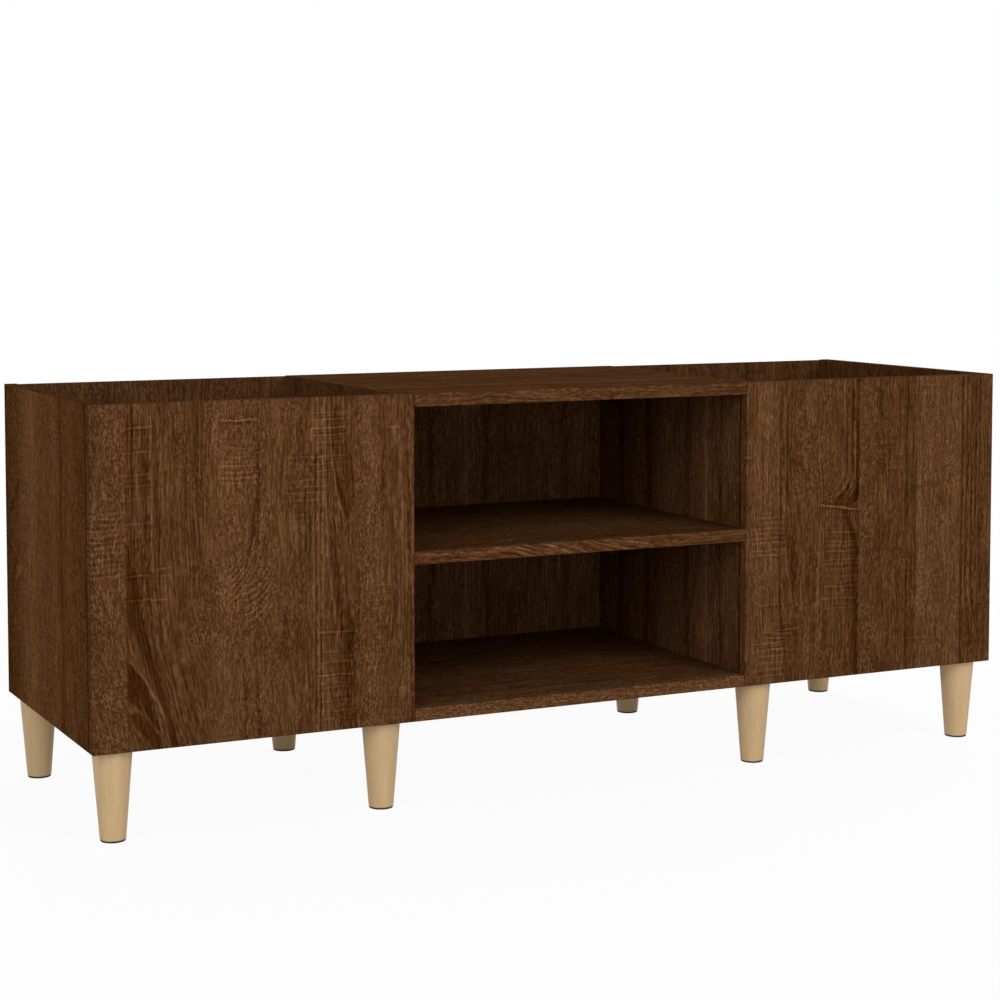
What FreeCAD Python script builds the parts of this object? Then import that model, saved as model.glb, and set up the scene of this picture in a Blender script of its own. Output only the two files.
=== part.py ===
import FreeCAD, Part
import math
import os
import re
import Sketcher
from FreeCAD import Rotation, Vector

# A record cabinet: two open-top bins and an open bay between them, on eight turned legs.
# Frame: X to the right, Y to the back, Z up. The origin is on the floor, under the middle of the cabinet.
# Every length is in millimetres.

# Driving dimensions: alias, value, meaning.
SIZES = [
    ("cabinet_width", 1210, "overall width of the body"),
    ("cabinet_depth", 380, "overall depth of the body, back panels included"),
    ("body_height", 380, "body without legs, underside to rim"),
    ("bin_width", 380, "outer width of a bin, side panel and partition included"),
    ("board", 15, "thickness of every board except the backs"),
    ("board_arris", 0.5, "radius of every edge of those boards"),
    ("lower_bay_height", 167.5, "clear height between bottom panel and shelf"),
    ("back_thickness", 3, "thickness of the back panels"),
    ("back_reveal", 1, "how far the backs stay inside the body's outline"),
    ("back_seam", 1, "gap between two neighbouring backs"),
    ("leg_length", 101, "wooden leg without its glide"),
    ("leg_top_diameter", 45, "leg where it meets the body"),
    ("leg_foot_diameter", 29, "leg at its foot"),
    ("leg_arris", 0.8, "bevel round both ends of a leg"),
    ("leg_inset", 30, "leg axis to the bin's outer faces and to the cabinet's front and rear"),
    ("glide_diameter", 28, "pad under a leg"),
    ("glide_thickness", 2, "pad under a leg"),
    ("glide_arris", 0.5, "bevel round a pad's lower edge"),
    ("leg_bolt_diameter", 8, "hanger bolt that holds a leg"),
    ("leg_bolt_in_leg", 28, "length of a hanger bolt inside the leg"),
    ("leg_bolt_in_body", 11, "length of a hanger bolt inside its insert nut"),
    ("insert_diameter", 12, "insert nut in a bin floor"),
    ("insert_length", 12, "insert nut in a bin floor"),
    ("fit_gap", 0.1, "radial clearance of every fitting in its bore"),
    ("end_gap", 0.5, "how much deeper a bore is than what fills it"),
    ("first_fitting", 34, "front or rear plane of the body to the nearest fitting"),
    ("fitting_pitch", 26, "distance from one row of fittings to the next"),
    ("front_dowel_inset", 30, "rim or underside to the nearest dowel of a front panel"),
    ("front_cam_inset", 90, "rim or underside to the nearest cam of a front panel"),
    ("floor_dowel_spacing", 200, "distance between the two dowels at a bin floor's front edge"),
    ("dowel_diameter", 8, "wooden dowel"),
    ("dowel_length", 30, "wooden dowel"),
    ("dowel_in_face", 10, "part of a dowel inside the board whose face it enters"),
    ("dowel_arris", 1, "bevel round both ends of a dowel"),
    ("cam_diameter", 14.8, "cam disc"),
    ("cam_setback", 24, "joint plane to the cam's axis"),
    ("cam_axis_height", 5, "bolt axis above the cam's lower face"),
    ("cam_recess", 0.5, "cam's upper face below the board's face"),
    ("cam_slot_width", 1.6, "each arm of the cross in a cam's upper face"),
    ("cam_slot_length", 9, "each arm of the cross in a cam's upper face"),
    ("cam_slot_depth", 1.6, "each arm of the cross in a cam's upper face"),
    ("cam_socket_diameter", 4.2, "round recess in the middle of the cross"),
    ("cam_socket_depth", 2.4, "round recess in the middle of the cross"),
    ("bolt_thread_diameter", 5.8, "threaded end of a cam bolt"),
    ("bolt_thread_length", 11, "threaded end of a cam bolt"),
    ("bolt_collar_diameter", 7.6, "collar of a cam bolt, at the joint plane"),
    ("bolt_collar_length", 2, "collar of a cam bolt"),
    ("bolt_shaft_diameter", 6.2, "shaft of a cam bolt"),
    ("bolt_neck_diameter", 4.2, "neck of a cam bolt, behind its head"),
    ("bolt_neck_length", 6, "neck of a cam bolt"),
    ("bolt_head_diameter", 7, "head of a cam bolt"),
    ("bolt_head_length", 3, "head of a cam bolt"),
    ("bolt_bore_diameter", 8, "bore that a cam bolt passes through"),
    ("cap_diameter", 17, "cover cap over a cam"),
    ("cap_thickness", 1.2, "cover cap over a cam"),
    ("cap_arris", 0.5, "bevel round a cap"),
    ("cap_stub_length", 2.2, "stub of a cap inside the cam's socket"),
    ("nail_diameter", 1.6, "nail of a back panel"),
    ("nail_length", 18, "nail of a back panel, head included"),
    ("nail_point", 1.5, "tapered end of a nail"),
    ("nail_head_diameter", 4, "nail of a back panel"),
    ("nail_head_height", 0.6, "nail head, flush with the back panel"),
    ("nail_edge", 3.5, "seam of two backs to the nails beside it"),
    ("nail_upright_inset", 40, "rim or underside to the nearest nail in an upright"),
    ("nail_level_inset", 60, "end of a level board to the nearest nail in its rear edge"),
]
UPRIGHT_NAILS = 4
LEVEL_NAILS = 3

# Planes and lines of the cabinet, each worked out from the sizes or from the names above it.
PLACES = {
    "underside": "leg_length + glide_thickness",
    "rim": "underside + body_height",
    "front": "-cabinet_depth / 2",
    "rear": "cabinet_depth / 2",
    "bin_front": "front + board",
    "carcass_rear": "rear - back_thickness",
    "outer": "cabinet_width / 2",
    "side_inner": "outer - board",
    "bay_side": "outer - bin_width",
    "partition_outer": "bay_side + board",
    "bin_middle": "outer - bin_width / 2",
    "shelf_low": "underside + board + lower_bay_height",
    "seam": "bay_side + board / 2",
    "cam_height": "board / 2 + cam_axis_height - cam_recess",
}

# Unit directions, each a sign and an axis.
RIGHT = "+x"
LEFT = "-x"
BACKWARD = "+y"
FORWARD = "-y"
UP = "+z"
DOWN = "-z"

# For each axis: the origin plane across it, the two axes that lie in that plane, and its normal's sign.
PLANES = {
    "x": ("YZ_Plane", "y", "z", "+"),
    "y": ("XZ_Plane", "x", "z", "-"),
    "z": ("XY_Plane", "x", "y", "+"),
}

# A drilled pocket has to take away at least this share of its cylinders.
LEAST_CUT = 0.3

# A new line or circle has this size until its constraints read their expressions.
UNSIZED = 1

doc = FreeCAD.newDocument("record_cabinet")
boards = {}
fitting_places = {}
parts = []


def make_sheet():
    """Writes the driving dimensions to the sheet, one row each."""
    sheet = doc.addObject("Spreadsheet::Sheet", "Sizes")
    for row, (alias, value, meaning) in enumerate(SIZES, 1):
        sheet.set("A%d" % row, meaning)
        sheet.set("B%d" % row, str(value))
        sheet.setAlias("B%d" % row, alias)
    doc.recompute()
    return sheet


def sized(text):
    """The expression with its places worked out and its sizes read from the sheet."""

    def expand(match):
        word = match.group(0)
        if word in PLACES:
            return "(%s)" % sized(PLACES[word])
        return "Sizes." + word

    return re.sub("[a-z_]+", expand, text)


def opposite(direction):
    """The direction turned round."""
    sign, axis = direction
    return ("-" if sign == "+" else "+") + axis


def vector(direction):
    """The direction as a unit vector."""
    sign, axis = direction
    unit = Vector(*[int(name == axis) for name in "xyz"])
    return unit if sign == "+" else -unit


def coordinate(point, axis):
    """The point's expression along an axis."""
    return point["xyz".index(axis)]


def moved(point, direction, distance):
    """The point, three expressions, shifted along a direction by a distance."""
    sign, axis = direction
    return tuple(
        "%s %s (%s)" % (text, sign, distance) if name == axis else text for name, text in zip("xyz", point)
    )


def mirrored(side, text):
    """An X on the cabinet's right half, or its mirror image where side is -1."""
    return text if side > 0 else "-(%s)" % text


# Sketches and solids ------------------------------------------------------------------------------


def new_body(name):
    """An empty body."""
    body = doc.addObject("PartDesign::Body", name)
    body.Label = name
    return body


def new_sketch(body, axis, height="0"):
    """A sketch in the body's plane across an axis, at a height along that axis."""
    role, _, _, normal = PLANES[axis]
    sketch = body.newObject("Sketcher::SketchObject", body.Name + "_sketch")
    plane = next(item for item in body.Origin.OriginFeatures if item.Role == role)
    sketch.AttachmentSupport = [(plane, "")]
    sketch.MapMode = "FlatFace"
    sketch.setExpression(".AttachmentOffset.Base.z", "%s(%s)" % (normal.strip("+"), sized(height)))
    return sketch


def locate(sketch, geometry, end, across, up):
    """Ties a point of the sketch to the sketch's origin by two expressions."""
    for kind, text in (("DistanceX", across), ("DistanceY", up)):
        index = sketch.addConstraint(Sketcher.Constraint(kind, -1, 1, geometry, end, UNSIZED))
        sketch.setExpression("Constraints[%d]" % index, sized(text))


def outline(body, axis, corners, height="0"):
    """A closed outline of straight lines through the corners, each given by two expressions."""
    sketch = new_sketch(body, axis, height)
    count = len(corners)
    starts = [Vector(i + 1, (i + 1) ** 2, 0) for i in range(count)]
    for i in range(count):
        sketch.addGeometry(Part.LineSegment(starts[i], starts[(i + 1) % count]), False)
    for i, (across, up) in enumerate(corners):
        sketch.addConstraint(Sketcher.Constraint("Coincident", (i - 1) % count, 2, i, 1))
        locate(sketch, i, 1, across, up)
    return sketch


def circles(body, axis, centres, diameter, height="0"):
    """Equal circles round the centres, each given by two expressions."""
    sketch = new_sketch(body, axis, height)
    for i, (across, up) in enumerate(centres):
        sketch.addGeometry(Part.Circle(Vector(i + 1, 0, 0), Vector(0, 0, 1), UNSIZED), False)
        index = sketch.addConstraint(Sketcher.Constraint("Diameter", i, UNSIZED))
        sketch.setExpression("Constraints[%d]" % index, sized(diameter))
        locate(sketch, i, 3, across, up)
    return sketch


def pad(body, sketch, axis, length):
    """Grows the sketch along its axis, towards the axis's positive end."""
    feature = body.newObject("PartDesign::Pad", body.Name + "_pad")
    feature.Profile = sketch
    feature.setExpression("Length", sized(length))
    feature.Reversed = PLANES[axis][3] == "-"
    body.Tip = feature
    return feature


def pocket(body, sketch, direction, depth):
    """Cuts the sketch into the body, in a direction."""
    feature = body.newObject("PartDesign::Pocket", body.Name + "_pocket")
    feature.Profile = sketch
    feature.setExpression("Length", sized(depth))
    sign, axis = direction
    feature.Reversed = sign == PLANES[axis][3]
    body.Tip = feature
    return feature


def rounded(body, solid, radius):
    """Rounds every edge of the body so far."""
    feature = body.newObject("PartDesign::Fillet", body.Name + "_rounding")
    feature.Base = (solid, [""])
    feature.UseAllEdges = True
    feature.setExpression("Radius", sized(radius))
    body.Tip = feature
    return feature


def turned(body, corners):
    """Turns a profile, radius and height of each corner, round the body's Z axis."""
    sketch = outline(body, "y", corners)
    feature = body.newObject("PartDesign::Revolution", body.Name + "_turning")
    feature.Profile = sketch
    feature.ReferenceAxis = (sketch, ["V_Axis"])
    feature.Angle = 360
    body.Tip = feature
    return feature


def place_body(thing, point):
    """Ties the thing's place to three expressions."""
    for name, text in zip("xyz", point):
        thing.setExpression(".Placement.Base." + name, sized(text))


# Boards -------------------------------------------------------------------------------------------


class Board:
    """A flat board, by its low corner and its extents along X, Y and Z, and the bores drilled in it."""

    def __init__(self, name, low, extent, thin_axis, arris):
        self.name = name
        self.low = low
        self.extent = extent
        self.thin_axis = thin_axis
        self.arris = arris
        self.bores = {}

    def drill(self, mouth, direction, diameter, depth):
        """Adds a bore from its mouth, a point in the cabinet's frame, in a direction."""
        key = (direction, coordinate(mouth, direction[1]), diameter, depth)
        self.bores.setdefault(key, []).append(mouth)

    def local(self, point, axis):
        """A coordinate of a point of the cabinet, seen from the board's low corner."""
        return "(%s) - (%s)" % (coordinate(point, axis), coordinate(self.low, axis))

    def build(self):
        """Pads the board's face and drills its bores, one pocket for each kind of bore."""
        body = new_body(self.name)
        _, across, up, _ = PLANES[self.thin_axis]
        wide, high = coordinate(self.extent, across), coordinate(self.extent, up)
        face = outline(body, self.thin_axis, [("0", "0"), (wide, "0"), (wide, high), ("0", high)])
        before = pad(body, face, self.thin_axis, coordinate(self.extent, self.thin_axis))
        if self.arris:
            before = rounded(body, before, self.arris)
        pockets = []
        for (direction, _, diameter, depth), mouths in self.bores.items():
            axis = direction[1]
            _, across, up, _ = PLANES[axis]
            centres = [(self.local(mouth, across), self.local(mouth, up)) for mouth in mouths]
            sketch = circles(body, axis, centres, diameter, self.local(mouths[0], axis))
            cut = pocket(body, sketch, direction, depth)
            pockets.append((before, cut, len(mouths)))
            before = cut
        place_body(body, self.low)
        doc.recompute()
        for before, cut, count in pockets:
            check_cut(before, cut, count)
        parts.append(body)


def check_cut(before, cut, count):
    """Stops the build if a pocket misses the board or points out of it."""
    radius = cut.Profile[0].Constraints[0].Value / 2
    whole = count * math.pi * radius**2 * cut.Length.Value
    if before.Shape.Volume - cut.Shape.Volume < LEAST_CUT * whole:
        raise RuntimeError("%s cuts too little" % cut.Name)


def add_board(name, low, extent, thin_axis, arris="board_arris"):
    """Notes a board to build. Without an arris its edges are square."""
    boards[name] = Board(name, low, extent, thin_axis, arris)


def add_pair(name, inner_x, extent, low_y, low_z, thin_axis, arris="board_arris"):
    """Notes a board of the right half, from its X nearest the middle, and its mirror image."""
    outer_x = "-(%s) - (%s)" % (inner_x, extent[0])
    add_board(name + "_left", (outer_x, low_y, low_z), extent, thin_axis, arris)
    add_board(name + "_right", (inner_x, low_y, low_z), extent, thin_axis, arris)


def lay_out_boards():
    """The body's boards, each in its place."""
    upright = ("board", "carcass_rear - bin_front", "body_height")
    add_pair("side_panel", "side_inner", upright, "bin_front", "underside", "x")
    add_pair("partition", "bay_side", upright, "bin_front", "underside", "x")
    add_pair("front_panel", "bay_side", ("bin_width", "board", "body_height"), "front", "underside", "y")
    floor = ("bin_width - 2 * board", "carcass_rear - bin_front", "board")
    add_pair("bin_floor", "partition_outer", floor, "bin_front", "underside", "z")

    level = ("2 * bay_side", "carcass_rear - front", "board")
    add_board("bottom_panel", ("-bay_side", "front", "underside"), level, "z")
    add_board("shelf", ("-bay_side", "front", "shelf_low"), level, "z")
    add_board("top_panel", ("-bay_side", "front", "rim - board"), level, "z")

    back_height = "body_height - 2 * back_reveal"
    bin_back = ("outer - back_reveal - seam - back_seam / 2", "back_thickness", back_height)
    back_low = "underside + back_reveal"
    add_pair("back_panel", "seam + back_seam / 2", bin_back, "carcass_rear", back_low, "y", None)
    bay_back = ("2 * seam - back_seam", "back_thickness", back_height)
    bay_back_low = ("-seam + back_seam / 2", "carcass_rear", back_low)
    add_board("back_panel_centre", bay_back_low, bay_back, "y", None)


# Fittings and the bores they need -----------------------------------------------------------------


def put(kind, point, direction, towards=None):
    """Notes the place of a fitting, whose own Z axis points in a direction and its X axis towards another."""
    if towards is None:
        turn = Rotation(Vector(0, 0, 1), vector(direction))
    else:
        turn = Rotation(vector(towards), Vector(), vector(direction), "ZXY")
    fitting_places.setdefault(kind, []).append((point, turn))


def bore_of(fitting):
    """The bore for a round fitting of that diameter."""
    return "%s + 2 * fit_gap" % fitting


def dowel_joint(face, end, point, into):
    """A dowel across a joint: into the face of one board and on into the end of the other."""
    bore = bore_of("dowel_diameter")
    boards[face].drill(point, opposite(into), bore, "dowel_in_face + end_gap")
    boards[end].drill(point, into, bore, "dowel_length - dowel_in_face + end_gap")
    put("wooden_dowels", point, into)


def cam_joint(face, end, point, into, opens, capped):
    """A cam bolt in the face of one board, and the cam that pulls it into the end of the other."""
    boards[face].drill(point, opposite(into), bore_of("bolt_thread_diameter"), "bolt_thread_length + end_gap")
    boards[end].drill(point, into, "bolt_bore_diameter", "cam_setback")
    cam = moved(point, into, "cam_setback")
    mouth = moved(cam, opens, "board / 2")
    boards[end].drill(mouth, opposite(opens), bore_of("cam_diameter"), "board / 2 + cam_axis_height")
    put("cam_bolts", point, into)
    put("cam_locks", cam, opens, opposite(into))
    if capped:
        put("cam_caps", mouth, opens)


def rows(number):
    """The two Y places of a row of fittings, counted from the body's front and rear planes."""
    inset = "first_fitting + %d * fitting_pitch" % number
    return "front + %s" % inset, "rear - (%s)" % inset


def join_bay():
    """Top, shelf and bottom between the partitions. The cams open downwards."""
    for name, low, capped in (
        ("bottom_panel", "underside", False),
        ("shelf", "shelf_low", True),
        ("top_panel", "rim - board", True),
    ):
        middle = low + " + board / 2"
        for side, face, into in ((-1, "partition_left", RIGHT), (1, "partition_right", LEFT)):
            x = mirrored(side, "bay_side")
            for y in rows(0):
                dowel_joint(face, name, (x, y, middle), into)
            for y in rows(1):
                cam_joint(face, name, (x, y, middle), into, DOWN, capped)


def join_bin(side, hand, outwards):
    """The floor and the front panel of one bin, on its side panel and its partition."""
    inwards = opposite(outwards)
    floor, front = "bin_floor_" + hand, "front_panel_" + hand
    middle = "underside + board / 2"
    for upright, face_x, middle_x, to_bin in (
        ("side_panel_" + hand, "side_inner", "side_inner + board / 2", inwards),
        ("partition_" + hand, "partition_outer", "bay_side + board / 2", outwards),
    ):
        x = mirrored(side, face_x)
        for y in rows(2):
            cam_joint(upright, floor, (x, y, middle), to_bin, DOWN, False)
        for y in rows(3):
            dowel_joint(upright, floor, (x, y, middle), to_bin)
        edge_x = mirrored(side, middle_x)
        for z in ("underside + front_cam_inset", "rim - front_cam_inset"):
            cam_joint(front, upright, (edge_x, "bin_front", z), BACKWARD, to_bin, True)
        for z in ("underside + front_dowel_inset", "rim - front_dowel_inset"):
            dowel_joint(front, upright, (edge_x, "bin_front", z), BACKWARD)
    for way in ("-", "+"):
        x = mirrored(side, "bin_middle %s floor_dowel_spacing / 2" % way)
        dowel_joint(front, floor, (x, "bin_front", middle), BACKWARD)


def nail(back, carrier, x, z):
    """A nail through a back panel into the rear edge of the board behind it."""
    bore = bore_of("nail_diameter")
    boards[back].drill((x, "rear", z), FORWARD, bore, "back_thickness")
    boards[back].drill((x, "rear", z), FORWARD, bore_of("nail_head_diameter"), "nail_head_height")
    depth = "nail_length - back_thickness + end_gap"
    boards[carrier].drill((x, "carcass_rear", z), FORWARD, bore, depth)
    put("back_panel_nails", (x, "rear", z), FORWARD)


def nail_backs():
    """Nails round each back, along the uprights and the level boards."""
    upright_step = "(body_height - 2 * nail_upright_inset) / %d" % (UPRIGHT_NAILS - 1)
    heights = ["underside + nail_upright_inset + %d * %s" % (i, upright_step) for i in range(UPRIGHT_NAILS)]
    level_share = ["(%g)" % (2 * i / (LEVEL_NAILS - 1) - 1) for i in range(LEVEL_NAILS)]
    bay_reach = "(bay_side - nail_level_inset)"
    bin_reach = "(bin_width / 2 - board - nail_level_inset)"
    for side, hand in ((-1, "left"), (1, "right")):
        back, partition = "back_panel_" + hand, "partition_" + hand
        for z in heights:
            nail(back, "side_panel_" + hand, mirrored(side, "side_inner + board / 2"), z)
            nail(back, partition, mirrored(side, "seam + back_seam / 2 + nail_edge"), z)
            nail("back_panel_centre", partition, mirrored(side, "seam - back_seam / 2 - nail_edge"), z)
        for share in level_share:
            x = mirrored(side, "bin_middle + %s * %s" % (share, bin_reach))
            nail(back, "bin_floor_" + hand, x, "underside + board / 2")
    for name, low in (("bottom_panel", "underside"), ("shelf", "shelf_low"), ("top_panel", "rim - board")):
        for share in level_share:
            nail("back_panel_centre", name, "%s * %s" % (share, bay_reach), low + " + board / 2")


def fasten_legs():
    """A leg, its bolt, its insert nut and its glide under each corner of both bins."""
    for side, hand in ((-1, "left"), (1, "right")):
        for place, x in (("outer", "outer - leg_inset"), ("inner", "bay_side + leg_inset")):
            for end, y in (("front", "front + leg_inset"), ("rear", "rear - leg_inset")):
                x_here = mirrored(side, x)
                seat = (x_here, y, "underside")
                depth = "insert_length + end_gap"
                boards["bin_floor_" + hand].drill(seat, UP, bore_of("insert_diameter"), depth)
                put("leg_inserts", seat, UP)
                put("leg_bolts", seat, UP)
                put("leg_glides", (x_here, y, "0"), UP)
                make_leg("leg_%s_%s_%s" % (end, hand, place), (x_here, y, "glide_thickness"))


# Turned and moulded pieces ------------------------------------------------------------------------


def make_leg(name, point):
    """A round leg that tapers to its foot, bored from above for its bolt. Its origin is at its foot."""
    body = new_body(name)
    top, foot = "leg_top_diameter / 2", "leg_foot_diameter / 2"
    bore = "leg_bolt_diameter / 2 + fit_gap"
    bore_end = "leg_length - leg_bolt_in_leg - end_gap"
    turned(
        body,
        [
            ("0", "0"),
            (foot + " - leg_arris", "0"),
            (foot, "leg_arris"),
            (top, "leg_length - leg_arris"),
            (top + " - leg_arris", "leg_length"),
            (bore, "leg_length"),
            (bore, bore_end),
            ("0", bore_end),
        ],
    )
    place_body(body, point)
    parts.append(body)


def glide_profile():
    """A flat pad, bevelled at the floor."""
    radius = "glide_diameter / 2"
    return [
        ("0", "0"),
        (radius + " - glide_arris", "0"),
        (radius, "glide_arris"),
        (radius, "glide_thickness"),
        ("0", "glide_thickness"),
    ]


def leg_bolt_profile():
    """A headless bolt, its origin where the leg meets the body."""
    radius = "leg_bolt_diameter / 2"
    return [
        ("0", "-leg_bolt_in_leg"),
        (radius, "-leg_bolt_in_leg"),
        (radius, "leg_bolt_in_body"),
        ("0", "leg_bolt_in_body"),
    ]


def insert_profile():
    """A tube that fills its bore up to the bin floor's underside."""
    bore, radius = "leg_bolt_diameter / 2 + fit_gap", "insert_diameter / 2"
    return [(bore, "0"), (radius, "0"), (radius, "insert_length"), (bore, "insert_length")]


def dowel_profile():
    """A dowel with bevelled ends, its origin at the joint plane."""
    radius, low, high = "dowel_diameter / 2", "-dowel_in_face", "dowel_length - dowel_in_face"
    return [
        ("0", low),
        (radius + " - dowel_arris", low),
        (radius, low + " + dowel_arris"),
        (radius, high + " - dowel_arris"),
        (radius + " - dowel_arris", high),
        ("0", high),
    ]


def cam_bolt_profile():
    """Thread, collar, shaft, neck and head, its origin at the joint plane. The head ends at the cam's axis."""
    thread, collar, shaft = "bolt_thread_diameter / 2", "bolt_collar_diameter / 2", "bolt_shaft_diameter / 2"
    neck, head = "bolt_neck_diameter / 2", "bolt_head_diameter / 2"
    head_low = "cam_setback - bolt_head_length"
    neck_low = head_low + " - bolt_neck_length"
    return [
        ("0", "-bolt_thread_length"),
        (thread, "-bolt_thread_length"),
        (thread, "0"),
        (collar, "0"),
        (collar, "bolt_collar_length"),
        (shaft, "bolt_collar_length"),
        (shaft, neck_low),
        (neck, neck_low),
        (neck, head_low),
        (head, head_low),
        (head, "cam_setback"),
        ("0", "cam_setback"),
    ]


def cap_profile():
    """A flat cap with a bevelled rim, and a stub that reaches into the cam's socket."""
    radius, stub = "cap_diameter / 2", "cam_socket_diameter / 2 - fit_gap"
    return [
        ("0", "-cap_stub_length"),
        (stub, "-cap_stub_length"),
        (stub, "0"),
        (radius, "0"),
        (radius, "cap_thickness - cap_arris"),
        (radius + " - cap_arris", "cap_thickness"),
        ("0", "cap_thickness"),
    ]


def nail_profile():
    """A flat-headed nail, its origin in the middle of its head's upper face."""
    head, shank = "nail_head_diameter / 2", "nail_diameter / 2"
    return [
        ("0", "0"),
        (head, "0"),
        (head, "nail_head_height"),
        (shank, "nail_head_height"),
        (shank, "nail_length - nail_point"),
        ("0", "nail_length"),
    ]


def make_cam():
    """A disc with a cross and a socket in its upper face, and a hole from its rim for the bolt's head."""
    body = new_body("cam_lock_pattern")
    low, top = "-cam_axis_height", "cam_height - cam_axis_height"
    disc = circles(body, "z", [("0", "0")], "cam_diameter", low)
    pad(body, disc, "z", "cam_height")
    half_long, half_wide = "cam_slot_length / 2", "cam_slot_width / 2"
    for x, y in ((half_long, half_wide), (half_wide, half_long)):
        arm = [("-" + x, "-" + y), (x, "-" + y), (x, y), ("-" + x, y)]
        pocket(body, outline(body, "z", arm, top), DOWN, "cam_slot_depth")
    socket = circles(body, "z", [("0", "0")], "cam_socket_diameter", top)
    pocket(body, socket, DOWN, "cam_socket_depth")
    bolt_way = circles(body, "x", [("0", "0")], bore_of("bolt_head_diameter"), "cam_diameter")
    pocket(body, bolt_way, LEFT, "cam_diameter + end_gap")
    return body


def make_turned(name, profile):
    """A turned fitting, to be repeated."""
    body = new_body(name + "_pattern")
    turned(body, profile)
    return body


def repeat(pattern, name):
    """One part of separate equal solids: the pattern at each of its noted places."""
    copies = []
    for point, turn in fitting_places[name]:
        copy = doc.addObject("App::Link", name + "_copy")
        copy.LinkedObject = pattern
        copy.Placement = FreeCAD.Placement(Vector(), turn)
        place_body(copy, point)
        copies.append(copy)
    group = doc.addObject("Part::Compound", name)
    group.Label = name
    group.Links = copies
    parts.append(group)


# The whole cabinet --------------------------------------------------------------------------------


def build_all():
    """Lays out the boards and fittings, then builds every part."""
    make_sheet()
    lay_out_boards()
    join_bay()
    join_bin(-1, "left", LEFT)
    join_bin(1, "right", RIGHT)
    nail_backs()
    fasten_legs()
    for board in boards.values():
        board.build()
    repeat(make_turned("leg_glide", glide_profile()), "leg_glides")
    repeat(make_turned("leg_bolt", leg_bolt_profile()), "leg_bolts")
    repeat(make_turned("leg_insert", insert_profile()), "leg_inserts")
    repeat(make_turned("wooden_dowel", dowel_profile()), "wooden_dowels")
    repeat(make_turned("cam_bolt", cam_bolt_profile()), "cam_bolts")
    repeat(make_cam(), "cam_locks")
    repeat(make_turned("cam_cap", cap_profile()), "cam_caps")
    repeat(make_turned("back_panel_nail", nail_profile()), "back_panel_nails")
    doc.recompute()


def check_all():
    """Stops the build if any object failed or any part has no sound shape."""
    for item in doc.Objects:
        if "Invalid" in item.State or "Error" in item.State:
            raise RuntimeError("%s failed: %s" % (item.Name, item.State))
    for part in parts:
        if part.Shape.isNull() or not part.Shape.isValid() or not part.Shape.Solids:
            raise RuntimeError("%s has no sound shape" % part.Label)


def export_all():
    """Writes each part to its own STEP file."""
    os.makedirs("parts", exist_ok=True)
    for part in parts:
        part.Shape.exportStep("parts/%s.step" % part.Label)
        print("%-24s %3d solids  %12.1f mm3" % (part.Label, len(part.Shape.Solids), part.Shape.Volume))


build_all()
check_all()
export_all()
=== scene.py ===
"""The looks of a record cabinet: brown sawn-oak boards on pale turned legs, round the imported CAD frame.

Places are in metres in the frame of the CAD model: X to the right, Y to the back, Z up, the floor at Z = 0.
A board's figure is written in millimetres on its face, across the grain and along it, from one corner, and so is
every length that the decor takes.
Tones are brightness steps of an 8-bit picture, above or below the decor's middle tone.
"""

import inspect
import math
import random
from collections import namedtuple

import bpy
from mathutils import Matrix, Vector


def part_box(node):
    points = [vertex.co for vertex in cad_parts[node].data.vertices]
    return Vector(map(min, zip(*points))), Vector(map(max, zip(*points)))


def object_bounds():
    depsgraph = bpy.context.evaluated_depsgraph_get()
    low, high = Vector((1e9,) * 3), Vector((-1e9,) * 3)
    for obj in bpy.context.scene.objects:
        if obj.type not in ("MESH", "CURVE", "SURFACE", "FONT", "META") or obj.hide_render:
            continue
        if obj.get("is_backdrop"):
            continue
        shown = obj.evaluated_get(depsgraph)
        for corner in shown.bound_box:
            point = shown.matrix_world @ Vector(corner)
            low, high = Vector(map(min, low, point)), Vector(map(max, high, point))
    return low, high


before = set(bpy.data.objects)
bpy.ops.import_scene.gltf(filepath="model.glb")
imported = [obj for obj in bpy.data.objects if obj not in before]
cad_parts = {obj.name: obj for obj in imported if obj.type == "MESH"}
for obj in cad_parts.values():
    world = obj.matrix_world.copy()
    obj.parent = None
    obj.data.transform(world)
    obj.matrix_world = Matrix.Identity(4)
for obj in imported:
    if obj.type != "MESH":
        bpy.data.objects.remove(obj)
cad_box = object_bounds()

MM = 0.001

# Camera: where it stands, which way it looks, and its lens.
CAMERA_PLACE = (-1.2376, -2.4716, 0.6635)
CAMERA_TURN = math.radians(-26.19)
CAMERA_DIP = math.radians(3.776)
LENS = 78.716
LENS_SHIFT = -0.12

# The lamps: place, width in metres and strength in watts. All face one point.
LAMPS = {
    "key": ((1.6, -3.6, 2.6), 2.4, 77),
    "fill": ((-3.2, -2.6, 1.8), 2.4, 71),
    "rear": ((0.9, 3.6, 2.0), 2.4, 60),
    "right": ((3.5, 2.2, 1.7), 2.4, 50),
    "front": ((-0.6, -4.5, 0.6), 1.3, 21),
}
LAMPS_FACE = (0, 0, 0.25)
WORLD_STRENGTH = 0.25

# The floor: half its width, its grey, the share of plain white that it shows near the cabinet, and the distances
# between which the share grows to 1.
FLOOR_HALF = 14
FLOOR_GREY = 0.92
NEAR_WHITENESS = 0.94
WHITENS_FROM, WHITENS_TO = 1.0, 2.4

# The decor's middle tone, and the darkest and palest stops of its ramps.
MIDDLE_TONE = 58.8
DARKEST, LIGHTEST, TONE_STEP = 20, 110, 15
TONE_SPAN = LIGHTEST - DARKEST
# Differences of the middle tone's colour, and how much both grow with the tone.
RED_OVER_GREEN, GREEN_OVER_BLUE = 29.7, 23.1
COLOUR_GROWTH = 0.13
# How much of a tone comes from red and from blue.
RED_SHARE, BLUE_SHARE = 0.299, 0.114
# How far the colour wanders to golden and to ruddy, and how much richer it is on the cabinet's sides.
HUE_REACH = 1.1
SIDE_RICHNESS = 2.2
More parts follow.
